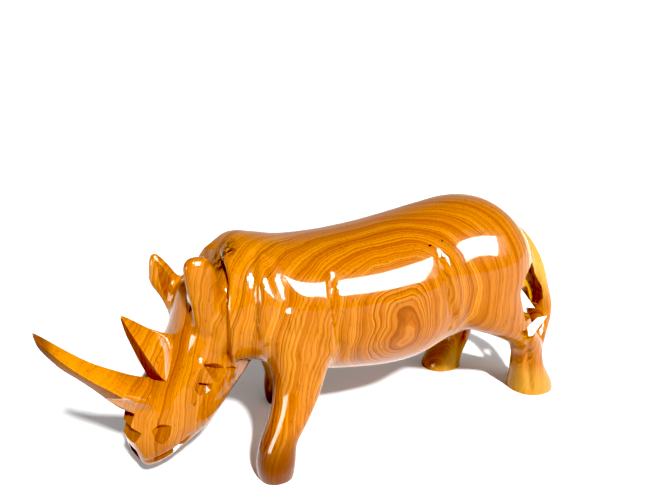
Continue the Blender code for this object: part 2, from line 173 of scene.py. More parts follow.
def legs():
    return [
        leg("near_foreleg", [
            (-60, -15, 70, 13, 12),
            (-59.5, -18, 57, 14.5, 12.5),
            (-57.8, -20, 47, 13, 11.5),
            (-58.5, -22.5, 38, 10.3, 10),
            (-61.3, -25, 30, 8.8, 8.8),
            (-65.5, -27, 22, 7.7, 7.7),
            (-69.6, -27.8, 15, 7.2, 7.3),
            (-71, -28, 8, 7.6, 7.8),
            (-71, -27.3, 3, 7.5, 7.5),
            (-70.6, -26.7, -2, 6.5, 6.5),
        ]),
        leg("far_foreleg", [
            (-60, 15, 70, 13, 12),
            (-57, 18, 57, 14.5, 12.5),
            (-55, 20, 47, 13.5, 11.5),
            (-53, 22, 38, 11, 10),
            (-50.5, 24, 30, 9.3, 9),
            (-48, 25.5, 22, 7.8, 7.8),
            (-46, 26.5, 15, 7.5, 7.5),
            (-45.5, 27, 8, 8.2, 8.3),
            (-45.5, 27, 3, 8, 8),
            (-45.5, 27, -2, 6.6, 6.6),
        ]),
        leg("near_hind_leg", [
            (38, -12, 74, 21, 16.5),
            (34, -14, 62, 22.5, 18),
            (36, -16, 51, 23, 16.5),
            (41.5, -17.5, 43, 20.5, 14),
            (51.5, -18.5, 35.5, 13, 11.5),
            (60, -19, 29.5, 9.8, 9.3),
            (64.6, -18.8, 24.5, 8, 7.9),
            (66.6, -18.3, 19.5, 7.4, 7.4),
            (67.6, -18, 13.5, 8.1, 8),
            (69.6, -17.8, 8, 9.4, 9),
            (71.2, -17.3, 3, 11, 10.2),
            (71.5, -17.2, -2, 11.4, 10.5),
        ]),
        leg("far_hind_leg", [
            (36, 10, 72, 20, 14),
            (34, 14, 60, 24, 16),
            (33, 16, 49, 22.5, 15),
            (38, 17.5, 41, 19, 13),
            (46, 19, 34, 13.5, 11),
            (52, 20, 28, 9.5, 9),
            (54, 20, 21, 7.8, 7.8),
            (52, 21, 14, 8.2, 8),
            (48.5, 22, 8, 9.3, 8.6),
            (46.5, 22.5, 3, 10.3, 9.2),
            (46, 22.5, -2, 10.4, 9.2),
        ]),
    ]


def head():
    """Head from nape to lip: distance down its axis, reach to the face, reach to the jaw, half width."""
    stations = [
        (-3, 2, 14, 8),
        (2, 6, 21, 11),
        (5, 9.5, 24, 11.4),
        (9, 12.3, 28, 12.2),
        (18, 8.6, 30.5, 13),
        (28, 5.6, 29.8, 14.2),
        (38, 5.2, 27, 14.6),
        (46, 7.4, 25.6, 13.9),
        (54, 11, 23.3, 13),
        (60, 11.8, 19.4, 12),
        (66, 6.8, 15.5, 11),
        (71, 1.2, 11.5, 9.2),
        (74.5, -2.5, 7, 6),
    ]
    rings = []
    for down, front, back, half in through(stations, STEPS):
        set_back = max(0, LEAST_REACH - front)
        centre = HEAD_TOP + HEAD_DOWN * down - HEAD_FRONT * set_back
        rings.append(ring(centre, SIDEWAYS, HEAD_FRONT, half, front + set_back, back - set_back,
                          (1.9, 2.5), 56, head_spot))
    return loft("head", rings)


def horn(name, stations, upper, lower):
    """A horn with a ridge down each side: its rear edge, its ridge and half width, and its front edge."""
    rings = []
    for row in through(stations, STEPS):
        rear, ridge, half, front = row[0:2], row[2:4], row[4], row[5:7]
        points = []
        for i in range(HORN_SIDES):
            a = 2 * pi * i / HORN_SIDES
            c, s = cos(a), sin(a)
            edge = (rear if s > 0 else front) - ridge
            x, z = ridge + edge * abs(s) ** (2 / HORN_SECTION)
            points.append(head_spot(x, copysign(abs(c) ** (2 / HORN_SECTION), c) * half, z))
        rings.append(points)
    made = loft(name, rings)
    made.data.materials.append(upper)
    made.data.materials.append(lower)
    # The front-edge half of each horn, its lower facet, takes the second finish, which is darkened as painted
    # shade.
    for face in made.data.polygons:
        face.material_index = int(face.index % HORN_SIDES >= HORN_SIDES // 2)
    return made


def horns(upper, lower):
    rows = [
        ("front_horn", [
            (-150.8, 70.2, -150.9, 69.6, 0.9, -151, 69),
            (-148.3, 68, -149.3, 66, 2.6, -149.5, 63.9),
            (-141, 60.9, -143.2, 58.2, 4.4, -144, 55.5),
            (-134, 54.7, -136.9, 51.4, 5.9, -138, 48.9),
            (-126, 49.2, -130, 45.1, 7.4, -132.4, 42.4),
            (-118, 44.4, -123.4, 39, 9, -127.9, 36.8),
            (-110, 41, -116, 33.4, 11, -121.6, 30.2),
            (-103, 39, -108, 27, 11.5, -113, 23),
        ]),
        ("rear_horn", [
            (-121.5, 69, -121.7, 68.2, 0.6, -122, 67.6),
            (-117.5, 66, -119.6, 62.5, 2.4, -120.6, 61.5),
            (-112.5, 62, -116.8, 56, 4, -118.4, 55),
            (-107.5, 59, -114.2, 50, 5.6, -116, 48.5),
            (-102, 56, -111.5, 44.5, 7.2, -113.3, 42.5),
            (-96, 51, -107, 39, 8, -109, 36.5),
        ]),
    ]
    return [horn(name, stations, upper, lower) for name, stations in rows]


def swept(name, stations, power, sides, place):
    """A limb whose outlines stand square to its own path: x, y, z, half width, half thickness."""
    rows = through(stations, STEPS)
    rings = []
    for i, (x, y, z, half_width, half_thick) in enumerate(rows):
        before, after = rows[max(i - 1, 0)][:3], rows[min(i + 1, len(rows) - 1)][:3]
        ahead = Vector(after - before).normalized()
        across = (SIDEWAYS - ahead * SIDEWAYS.dot(ahead)).normalized()
        rings.append(ring(Vector((x, y, z)), across, ahead.cross(across), half_width, half_thick, half_thick,
                          power, sides, place))
    return loft(name, rings)


def cheek_ridges():
    """The ridge that runs from each ear down the cheek to the eye: x, y, z, half width, half thickness."""
    near = [
        (-92.6, -13, 74, 2.6, 2.6),
        (-91.8, -13.2, 70, 3, 3),
        (-91.2, -13.4, 66, 3.1, 3.1),
        (-91.2, -13.2, 60, 2.9, 2.9),
        (-92.8, -12.6, 54, 2.5, 2.5),
        (-96.5, -12, 49.5, 1.9, 1.9),
    ]
    far = [(x, -y, z, half_width, half_thick) for x, y, z, half_width, half_thick in near]
    return [swept("cheek_ridge", rows, (2, 2), 24, head_spot) for rows in (near, far)]


def ear(name, stations):
    rings = []
    for x, y, z, half_depth, half_thick in through(stations, STEPS):
        rings.append(ring(Vector((x, y, z)), ALONG, SIDEWAYS, half_depth, half_thick, half_thick,
                          (2, 2), 32, head_spot))
    return loft(name, rings)


def ears():
    """Two paddles of wood on the crown, the far one pointed: x, y, z, half depth, half thickness."""
    return [
        ear("near_ear", [
            (-93, -11, 60, 6, 4),
            (-94.2, -12.5, 68, 6.2, 4.2),
            (-96, -14, 75.5, 6.4, 3.8),
            (-97.5, -14.8, 82, 6.3, 3.5),
            (-98.8, -15, 86.8, 5.4, 3.2),
            (-99, -15, 89.6, 3.2, 2.2),
        ]),
        ear("far_ear", [
            (-93.5, 10.5, 60, 5.5, 4),
            (-95.5, 12.5, 67, 5.6, 4),
            (-98, 14.3, 73, 6.2, 3.8),
            (-99.6, 14.6, 78, 4.8, 3.2),
            (-101, 14.6, 82, 3, 2.4),
            (-101.8, 14.5, 85, 1.2, 1.2),
        ]),
    ]


def tail():
    """Band of wood down the rump that ends on the near hock: x, y, z, half width, half thickness."""
    stations = [
        (44, 0, 88.8, 6, 4.5),
        (57, -1, 83.5, 7, 4.5),
        (67.2, -3, 74.5, 8.5, 4.8),
        (73.8, -5.5, 62, 10, 5.3),
        (78, -7.5, 50, 9, 5),
        (80.8, -10, 39, 7.2, 4.8),
        (76, -14.5, 28.5, 5.4, 4.2),
        (70.5, -18, 21, 4.5, 4),
        (67, -18, 15, 3, 3),
    ]
    return swept("tail", stations, (2.4, 2.4), 32, spot)


def baked(source, name):
    """A plain mesh object of what the source shows with its modifiers."""
    graph = bpy.context.evaluated_depsgraph_get()
    data = bpy.data.meshes.new_from_object(source.evaluated_get(graph))
    bpy.data.objects.remove(source)
    made = bpy.data.objects.new(name, data)
    bpy.context.scene.collection.objects.link(made)
    return made


def points_of(carved):
    """The carving's vertices and their normals, as rows of three."""
    count = len(carved.data.vertices)
    points, normals = np.empty(count * 3), np.empty(count * 3)
    carved.data.vertices.foreach_get("co", points)
    carved.data.vertices.foreach_get("normal", normals)
    return points.reshape(-1, 3), normals.reshape(-1, 3)


def smooth_step(t):
    t = np.clip(t, 0, 1)
    return t * t * (3 - 2 * t)


# Where the body's broad forms end and the horn roots and the ears start, in millimetres, and over how much.
HORN_ROOT = 13
EARS_ABOVE = 76
EARS_BEFORE = -89
ROOT_FADE = 4
EAR_FADE = 3


def broad_forms(points):
    """How far each point may be sanded round: 1 on the body, 0 on the horns and the ears."""
    x, y, z = (points / MM + (DRAWN_CENTRE[0], DRAWN_CENTRE[1], 0)).T
    dx = x - NECK_PIVOT_X
    along = dx * cos(HEAD_TURN) + y * sin(HEAD_TURN) + NECK_PIVOT_X
    reach = (along - HEAD_TOP.x) * HEAD_FRONT.x + (z - HEAD_TOP.z) * HEAD_FRONT.z
    horned = smooth_step((reach - HORN_ROOT) / ROOT_FADE)
    eared = smooth_step((z - EARS_ABOVE) / ROOT_FADE) * smooth_step((EARS_BEFORE - along) / EAR_FADE)
    return 1 - np.maximum(horned, eared)


def fused(pieces):
    """The rough shapes carved into one skin, with the joins sanded."""
    mesh = bmesh.new()
    for piece in pieces:
        mesh.from_mesh(piece.data)
        bpy.data.objects.remove(piece)
    data = bpy.data.meshes.new("rough")
    mesh.to_mesh(data)
    mesh.free()
    rough = bpy.data.objects.new("rough", data)
    bpy.context.scene.collection.objects.link(rough)
    fuse = rough.modifiers.new("Fuse", "REMESH")
    fuse.mode = "VOXEL"
    fuse.voxel_size = FUSE_VOXEL
    skin = baked(rough, "skin")
    broad = skin.vertex_groups.new(name="broad forms")
    for i, weight in enumerate(broad_forms(points_of(skin)[0])):
        if weight > 0:
            broad.add([i], weight, "REPLACE")
    for name, steps, group in (("Crisp", SOFTEN_CRISP, ""), ("Broad", SOFTEN_BROAD, broad.name)):
        soften = skin.modifiers.new(name, "SMOOTH")
        soften.factor = 0.5
        soften.iterations = steps
        soften.vertex_group = group
    return baked(skin, "carving")


def surface_of(carved):
    mesh = bmesh.new()
    mesh.from_mesh(carved.data)
    tree = BVHTree.FromBMesh(mesh)
    mesh.free()
    return tree


def fold(carved, skin, path, depth, width, proud=0.0, reach=1.0, proud_side=ALONG):
    """A groove along a path on the skin, in metres, whose one side may stand proud of the other."""
    route = np.array([skin.find_nearest(Vector(p))[0] for p in through(path, FOLD_STEPS)])
    points, normals = points_of(carved)
    count = len(points)
    nearest = np.full(count, np.inf)
    offset = np.zeros((count, 3))
    run = np.zeros(count)
    for i, (start, end) in enumerate(zip(route, route[1:])):
        line = end - start
        t = np.clip((points - start) @ line / max(line @ line, 1e-12), 0, 1)
        away = points - start - t[:, None] * line
        distance = np.linalg.norm(away, axis=1)
        closer = distance < nearest
        nearest[closer] = distance[closer]
        offset[closer] = away[closer]
        run[closer] = (i + t[closer]) / (len(route) - 1)
    fade = smooth_step(np.minimum(run, 1 - run) / FOLD_FADE)
    side = np.tanh(offset @ np.array(proud_side) / (width / 2)) / 2 + 0.5
    shift = proud * np.exp(-((nearest / reach) ** 2)) * side
    shift -= depth * np.exp(-((nearest / width) ** 2))
    points += normals * (shift * fade)[:, None]
    carved.data.vertices.foreach_set("co", points.ravel())
    carved.data.update()


def mirrored(rows):
    return [(x, -y, z) for x, y, z in rows]


ELBOW = [(-45, -24, 80), (-46.9, -27.4, 74.6), (-47.4, -30, 69.5), (-47.2, -31, 64), (-46.4, -31, 57.7),
         (-44.8, -30, 50.3), (-41.5, -26, 41)]
HIP = [(3.8, -24, 83), (4.7, -28.8, 76), (5.7, -30.4, 71.7), (6.7, -31.7, 65.4), (8, -32, 60),
       (10.5, -31, 53.6), (15, -28, 45)]
NECK = [(-81.5, -1, 86), (-84.6, -9, 83.5), (-86.6, -15, 78.7), (-88.4, -17.2, 73.5), (-90, -18.6, 68.7),
        (-90.2, -19, 61.2), (-89.4, -17.6, 53.8), (-87.5, -15, 43), (-86, -12, 35)]
SHOULDER = [(-71, -14, 88), (-73.5, -18.1, 84.8), (-75.6, -23.9, 76.1), (-76.3, -25.8, 64.5),
            (-75.6, -24.5, 52)]
SHOULDER_BLADE = [(-71, -15, 87), (-68.7, -22.5, 82.2), (-66.9, -26.4, 76.2), (-65, -28.3, 71.9),
                  (-63.5, -29.5, 66)]
HOCK = [(55.6, -28.5, 37), (58.4, -26.5, 30), (59.8, -25.7, 24), (61.5, -25.4, 15), (63.8, -25.1, 6),
        (64.5, -25, 0)]
MOUTH = [(-120, -6, 14.6), (-116.6, -8, 14.4), (-110.5, -9, 15.6), (-106, -9.4, 17), (-102, -10, 19.5)]
BROW = [(-97.4, -13.5, 50.5), (-99.4, -14, 48.4), (-101.6, -14.3, 45.6), (-103.4, -14.2, 41.2),
        (-104, -13.9, 36), (-103.6, -13, 32)]
# Each fold: its path, what it is drawn in, its depth and half width, then how far one side stands proud,
# over what reach and on which side of it, in metres.
FOLDS = [
    (ELBOW, spot, 0.0016, 0.0016, 0.0012, 0.008, -ALONG),
    (HIP, spot, 0.0014, 0.0016, 0.0010, 0.007, ALONG),
    (NECK, head_spot, 0.0018, 0.0013, 0.0028, 0.005, ALONG),
    (SHOULDER, spot, 0.0012, 0.0017, 0.0015, 0.007, ALONG),
    (SHOULDER_BLADE, spot, 0.0010, 0.0032),
    (MOUTH, head_spot, 0.0007, 0.0011),
    (BROW, head_spot, -0.0010, 0.0015),
]
HOCK_FOLD = (HOCK, spot, 0.0012, 0.0015)


def folded(carved):
    """The creases that part the limbs, the neck and the lips from what is behind them."""
    skin = surface_of(carved)
    for side in (list, mirrored):
        for path, place, *cut in FOLDS:
            fold(carved, skin, [place(*p) for p in side(path)], *cut)
    path, place, *cut = HOCK_FOLD
    fold(carved, skin, [place(*p) for p in path], *cut)


def chip(skin, place, corners, floor, depth):
    """The wedge that a knife lifts out: corners on the skin, and the floor's points below it."""
    floors = []
    for p in floor:
        found, normal = skin.find_nearest(place(*p))[:2]
        floors.append(found - normal * depth)
    middle = sum(floors, Vector()) / len(floors)
    edges = [skin.find_nearest(place(*p))[0] for p in corners]
    return floors + [middle + (edge - middle) * CHIP_OVERREACH for edge in edges]


def prism(place, near, near_y, far, far_y):
    """A bore through the figure from one outline to another: each is x and z at its own y."""
    return [place(x, near_y, z) for x, z in near] + [place(x, far_y, z) for x, z in far]


def cutter(name, hulls, finish):
    """One object of the wedges that are cut away together, in the finish that they leave."""
    mesh = bmesh.new()
    for hull in hulls:
        made = bmesh.ops.convex_hull(mesh, input=[mesh.verts.new(p) for p in hull])
        inside = {v for v in made["geom_interior"] if isinstance(v, bmesh.types.BMVert)}
        bmesh.ops.delete(mesh, geom=list(inside), context="VERTS")
    bmesh.ops.recalc_face_normals(mesh, faces=mesh.faces)
    data = bpy.data.meshes.new(name)
    mesh.to_mesh(data)
    mesh.free()
    data.materials.append(finish)
    made = bpy.data.objects.new(name, data)
    bpy.context.scene.collection.objects.link(made)
    return made


def face_chips(skin):
    """The eyes, the nostrils and the mouth, alike on both sides of the head."""
    rows = [
        # eye: the pocket behind the eyeball, the one below it and the groove in front of it
        ([(-97.4, -14, 48), (-92.8, -14, 47), (-88, -14, 43.2), (-93, -14, 39.4)],
         [(-95.6, -14, 45.8), (-91, -14, 43.4)], 0.0026),
        ([(-100.2, -14, 41.6), (-95.2, -14, 39.4), (-96, -14, 37), (-99.8, -14, 36.2)],
         [(-99, -14, 40.2), (-96.6, -14, 39)], 0.0024),
        ([(-98.8, -14, 47.4), (-100.3, -14, 41.8), (-100, -14, 36.6), (-102.8, -14, 40.4)],
         [(-100.8, -14, 43.2), (-101.2, -14, 40)], 0.0017),
        # nostril
        ([(-118.5, -10, 26.1), (-115.3, -11.8, 29), (-111.8, -12.2, 27.2), (-112.6, -11.6, 22.8),
          (-114.4, -11, 20.6), (-116.9, -11, 23.6)],
         [(-116.6, -10.4, 26.2), (-113.2, -11.3, 25.6)], 0.0028),
        # mouth: two long cuts, end to end
        ([(-104.1, -9.4, 18), (-108.9, -8.9, 16.2), (-104.6, -8.6, 16.2), (-109.4, -8.4, 14.2)],
         [(-105.5, -9, 17), (-108.3, -8.8, 15.5)], 0.0012),
        ([(-110.3, -8.8, 15.9), (-116.6, -8, 14.7), (-110.8, -8.4, 14), (-117, -7.6, 12.6)],
         [(-112, -8.6, 14.9), (-115.6, -8, 13.8)], 0.0012),
    ]
    pairs = []
    for corners, floor, depth in rows:
        near = chip(skin, head_spot, corners, floor, depth)
        pairs.append([near, chip(skin, head_spot, mirrored(corners), mirrored(floor), depth)])
    return pairs


MUZZLE_FLAT = [(-112.5, -14, 36), (-125.4, 0.5, 31.5), (-125, -10.6, 42.8), (-131, 0.5, 39.6),
               (-118, -14, 8), (-130.5, 0.5, 8), (-137, -14, 8), (-140, 0.5, 8)]


def muzzle_flats():
    """The flat below the front horn on each side, which shapes the nose."""
    return [[head_spot(*p) for p in side] for side in (MUZZLE_FLAT, mirrored(MUZZLE_FLAT))]


def muzzle_notches():
    """The notches across the nose and the lips: near end on the skin, then x and z of mouth and floor."""
    rows = [
        ((-118.8, -5.3, 30.7), (-131, 36.5), (-131, 18), (-121, 31)),
        ((-120.4, -7, 24.7), (-131, 33), (-131, 8), (-121.4, 23.6)),
        ((-117.5, -8, 15.2), (-126, 18), (-124, 7), (-117.6, 13.8)),
    ]
    hulls = []
    for (x, y, z), top, bottom, floor in rows:
        points = [(x, y, z), (x, -y, z), *((px, 0, pz) for px, pz in (top, bottom, floor))]
        hulls.append([head_spot(*p) for p in points])
    return hulls


def ear_chips(skin):
    far = ([(-101.5, 11.5, 82), (-96.6, 11, 75), (-95, 10.5, 69.5), (-99, 10.5, 66.5), (-101.6, 11, 73)],
           [(-98.6, 11, 73)], 0.0022)
    near = ([(-99.5, -11, 86), (-94.8, -11, 80), (-94, -10, 73), (-98, -9, 70), (-101, -11, 78)],
            [(-98, -11, 78)], 0.0020)
    return [chip(skin, head_spot, *row) for row in (far, near)]


PIT_DEPTH = 0.0011


def pits(skin):
    """The small hollows of a knot on the hump, and two more on the back: middle, half length, half height."""
    rows = [
        (-82.7, 3.0, 84.8, 1.2, 1.6),
        (-83.2, -1.4, 84.3, 1.0, 1.3),
        (-80.4, -10.2, 86.3, 1.7, 1.2),
        (-81.3, -9.6, 84.6, 1.3, 1.0),
        (-82.4, -8.0, 83.2, 1.5, 1.0),
        (-83.7, -9.1, 81.4, 1.2, 0.8),
        (-81.5, 0.6, 86.9, 1.4, 0.7),
        (1.1, -23.5, 83.0, 0.8, 0.7),
        (7.6, -23.0, 84.2, 0.6, 0.5),
    ]
    wedges = []
    for x, y, z, length, height in rows:
        corners = [(x - length, y, z - height), (x + length, y, z - height / 3),
                   (x + length / 2, y, z + height), (x - length, y, z + height / 2)]
        wedges.append(chip(skin, spot, corners, [(x, y, z)], PIT_DEPTH))
    return wedges


def tail_bores():
    """The opening between thigh and tail: a hollow that goes through at the top and again lower down."""
    upper = prism(spot, [(54.8, 70.5), (50.2, 64.8), (46.6, 58.5), (45.8, 51.8), (47.5, 42.5), (75, 42.5),
                         (75, 45), (66, 57), (60, 66)],
                  -30, [(70.5, 62.5), (64, 60), (60, 50), (62, 41.5), (77, 41), (78, 46), (76, 54)], -9)
    through_it = prism(spot, [(47.1, 59.5), (57.1, 48.2), (47.5, 50.4)],
                       -30, [(82.6, 43.1), (94.4, 29.9), (83, 32.4)], 5)
    lower = prism(spot, [(53.5, 39.6), (54.7, 34.8), (57, 34.2), (65.5, 43), (59, 43)],
                  -30, [(88, 21), (89, 15), (93, 15.5), (102, 24.8), (95, 25)], 3)
    pocket = prism(spot, [(48.5, 38.5), (51.5, 32), (56, 30.5), (61, 34), (62, 38.5)],
                   -32, [(56, 37), (58, 33), (62, 33), (64, 37)], -17)
    return [[bore] for bore in (upper, through_it, lower, pocket)]


def sole():
    """A slab below the table top, which cuts the four feet level."""
    return [[spot(x, y, z) for x in (-90, 100) for y in (-50, 50) for z in (-6, 0)]]


class Tone:
    """A value somewhere on the wood; sums written with it add Math nodes to its finish."""

    def __init__(self, finish, socket):
        self.finish = finish
        self.socket = socket

    def sum(self, operation, *values):
        return self.finish.add("ShaderNodeMath", {"operation": operation}, dict(enumerate(values)))

    def __add__(self, other):
        return self.sum("ADD", self, other)

    __radd__ = __add__

    def __sub__(self, other):
        return self.sum("SUBTRACT", self, other)

    def __rsub__(self, other):
        return self.sum("SUBTRACT", other, self)

    def __mul__(self, other):
        return self.sum("MULTIPLY", self, other)

    __rmul__ = __mul__

    def __truediv__(self, other):
        return self.sum("DIVIDE", self, other)

    def __rtruediv__(self, other):
        return self.sum("DIVIDE", other, self)

    def __pow__(self, other):
        return self.sum("POWER", self, other)

    def between(self, low, high):
        """0 at low, 1 at high and a soft step between them."""
        return self.finish.add("ShaderNodeMapRange", {"interpolation_type": "SMOOTHSTEP"},
                               {"Value": self, "From Min": low, "From Max": high})

    def past_whole(self):
        """What is left over past the whole number below it."""
        return self.sum("FRACT", self)

    def bell(self, width):
        """1 at nought, falling off smoothly to either side over a width."""
        return self.sum("EXPONENT", self * self * (-1 / width**2))


class Finish:
    """A material, and the one way that a node is added to it."""

    def __init__(self, name):
        self.material = bpy.data.materials.new(name)
        self.material.use_nodes = True
        self.tree = self.material.node_tree
        self.shader = self.tree.nodes["Principled BSDF"]

    def add(self, kind, settings=None, values=None, output=0):
        node = self.tree.nodes.new(kind)
        for name, value in (settings or {}).items():
            setattr(node, name, value)
        self.fill(node, values or {})
        return Tone(self, node.outputs[output])

    def fill(self, node, values):
        for name, value in values.items():
            if isinstance(value, Tone):
                self.tree.links.new(value.socket, node.inputs[name])
            else:
                node.inputs[name].default_value = value

    def mix(self, share, first, second):
        """Two colours mixed by a share of the second."""
        values = {0: share, 6: first, 7: second}
        for socket in (6, 7):
            if not isinstance(values[socket], Tone):
                values[socket] = (*values[socket], 1)
        return self.add("ShaderNodeMix", {"data_type": "RGBA"}, values, output=2)

    def noise(self, place, scale, detail=2.0, rough=0.5):
        return self.add("ShaderNodeTexNoise", {"noise_dimensions": "3D"},
                        {"Vector": place, "Scale": scale, "Detail": detail, "Roughness": rough})

    def line_noise(self, along, detail=2.0, rough=0.5):
        return self.add("ShaderNodeTexNoise", {"noise_dimensions": "1D"},
                        {"W": along, "Scale": 1.0, "Detail": detail, "Roughness": rough})


# Linear colours of the wood.
HONEY = (0.430, 0.162, 0.0190)
AMBER = (0.265, 0.069, 0.0055)
RUSSET = (0.090, 0.020, 0.0012)
LEMON = (0.520, 0.255, 0.0400)
GOLD_AND_PAINTED_LIGHT = (0.600, 0.240, 0.0300)
# Golden tone for the front of the head, partly painted light that brightens the front horn's facets.
STRAW = (0.440, 0.255, 0.0420)
BARK_BROWN = (0.022, 0.006, 0.0015)

# The tree stood upright in front of the near flank: its middle there, and how it leaned, in metres.
PITH = (0.0205, -0.0575, 0.053)
PITH_LEAN = (0.10, -0.18)
OFF_CENTRE = 0.30
HEART_WIDTH = 0.0080
SAPWOOD_FROM = 0.0900
SAPWOOD_BLEND = 0.0012
RINGS_PER_METRE = 880.0
# Broad dark and pale bands, and strokes as fine as a hair, to the metre.
BANDS_PER_METRE = 300.0
HAIRLINES_PER_METRE = 2600.0
PORES_PER_METRE = 1100.0
TEARS_PER_METRE = 420.0
GRAIN_DEPTH = 0.0003
KNOT = (-0.0505, -0.0065, 0.0848)
KNOT_INNER = 0.0050
KNOT_OUTER = 0.0095


def growth(finish, x, y, z, place):
    """Distance from the tree's middle in metres, the rings being closer together on one side of it."""
    waver = finish.noise(place, 38.0, 2.0, 0.5) - 0.5
    ripple = finish.noise(place, 170.0, 2.0, 0.5) - 0.5
    rise = z - PITH[2]
    across = x - PITH[0] - rise * PITH_LEAN[0]
    depth = y - PITH[1] - rise * PITH_LEAN[1]
    away = (across * across + depth * depth) ** 0.5
    pinch = across.bell(HEART_WIDTH) * 0.0017
    return away + across * OFF_CENTRE + waver * 0.0070 + ripple * 0.0005 - pinch


def wood(name, stain_and_shade=0.0, dull=0.0, rough_cut=0.0):
    """Lacquered hardwood with its rings, pores and sapwood.

    Each of three shares up to 1 changes it. The first darkens it: a real stain in the knot and the knife
    cuts, and painted shade on the horns' lower facets. Dull takes off lacquer, and rough_cut leaves it torn,
    its pale fibres partly painted light in the shaded tail hollow.
    """
    finish = Finish(name)
    whole = finish.add("ShaderNodeTexCoord", output="Object")
    place = finish.add("ShaderNodeMapping", {"vector_type": "POINT"},
                       {"Vector": whole, "Location": -TO_THE_MIDDLE})
    x, y, z = (finish.add("ShaderNodeSeparateXYZ", values={0: place}, output=i) for i in range(3))
    away = growth(finish, x, y, z, place)
    bands = finish.line_noise(away * BANDS_PER_METRE, 2.0, 0.5).between(0.30, 0.70)
    years = away * RINGS_PER_METRE + finish.line_noise(away * 230.0, 1.0) * 2.4
    season = years.past_whole()
    plain = finish.line_noise(away * 380.0 + 5.0, 1.0).between(0.36, 0.60)
    late = season.between(0.45, 1.0) * (1.0 - plain * 0.7)
    early = (1.0 - season.between(0.0, 0.42)) * plain
    patch = finish.noise(place, 26.0, 3.0, 0.6).between(0.36, 0.68)
    front = x.between(0.012, -0.062)
    colour = finish.mix(bands * 0.75, AMBER, HONEY)
    colour = finish.mix(front * 0.35, colour, HONEY)
    heart = away.between(0.036, 0.026)
    colour = finish.mix(heart * 0.45, colour, AMBER)
    colour = finish.mix(late * 0.54, colour, RUSSET)
    colour = finish.mix(early * 0.42, colour, LEMON)
    hairlines = finish.line_noise(away * HAIRLINES_PER_METRE, 2.0, 0.7)
    colour = finish.mix(hairlines.between(0.55, 0.75) * 0.40, colour, RUSSET)
    colour = finish.mix(hairlines.between(0.45, 0.28) * 0.32, colour, LEMON)
    colour = finish.mix(patch * 0.30, colour, AMBER)
    outer = (away + patch * 0.002).between(SAPWOOD_FROM - SAPWOOD_BLEND, SAPWOOD_FROM + SAPWOOD_BLEND)
    sapwood = outer * z.between(0.040, 0.060) * x.between(-0.060, -0.030)
    colour = finish.mix(sapwood * 0.85, colour, STRAW)
    # The front of the head and the front horn more golden: partly the wood's own tone, partly painted light
    # where the horn's facets get little lamp light.
    colour = finish.mix(x.between(-0.085, -0.100) * 0.55, colour, GOLD_AND_PAINTED_LIGHT)
    colour = finish.mix(x.between(-0.1115, -0.1165) * 0.75, colour, RUSSET)
    along, across, up = x - KNOT[0], y - KNOT[1], z - KNOT[2]
    knot = (along * along + across * across + up * up) ** 0.5
    gnarled = finish.noise(place, TEARS_PER_METRE, 3.0, 0.6).between(0.42, 0.58)
    gnarled = gnarled * (knot + patch * 0.004).between(KNOT_OUTER, KNOT_INNER)
    colour = finish.mix(gnarled * 0.85, colour, BARK_BROWN)
    fibres = finish.add("ShaderNodeMapping", {"vector_type": "POINT"},
                        {"Vector": place, "Scale": (1.0, 1.0, 0.09)})
    pores = finish.noise(fibres, PORES_PER_METRE, 3.0, 0.7).between(0.52, 0.70)
    colour = finish.mix(pores * 0.42, colour, RUSSET)
    # The forelegs darker towards their feet.
    darker_forefeet = x.between(0.000, -0.020) * (z + patch * 0.006).between(0.030, 0.008)
    colour = finish.mix(darker_forefeet * 0.88, colour, RUSSET)
    worn = x.between(0.062, 0.075) * (z + patch * 0.008).between(0.026, 0.012)
    colour = finish.mix(worn * 0.50, colour, STRAW)
    # Darkening towards russet: real stain in the knot and the knife cuts, painted shade on the horns' lower
    # facets.
    if stain_and_shade:
        colour = finish.mix(stain_and_shade, colour, RUSSET)
    height = 1 - pores * 0.5
    if rough_cut:
        torn = finish.noise(place, TEARS_PER_METRE, 4.0, 0.65)
        # Pale torn fibres, made paler as painted light so that the shaded tail hollow looks lit.
        colour = finish.mix(torn.between(0.40, 0.62) * rough_cut, colour, STRAW)
        colour = finish.mix(torn.between(0.44, 0.34) * rough_cut * 0.7, colour, RUSSET)
        height = height + torn * 4.0 * rough_cut
    bump = finish.add("ShaderNodeBump", values={"Strength": 0.15, "Distance": GRAIN_DEPTH, "Height": height})
    finish.fill(finish.shader, {
        "Base Color": colour,
        "Roughness": 0.45 + dull,
        "Specular IOR Level": 0.06,
        "Coat Weight": max(0.0, 1.0 - dull - rough_cut),
        "Coat Roughness": 0.08 + rough_cut * 0.2,
        "Coat IOR": 1.4,
        "Normal": bump,
    })
    return finish.material


# Degrees between two faces from which the edge stays sharp.
SHARP_FROM = 35


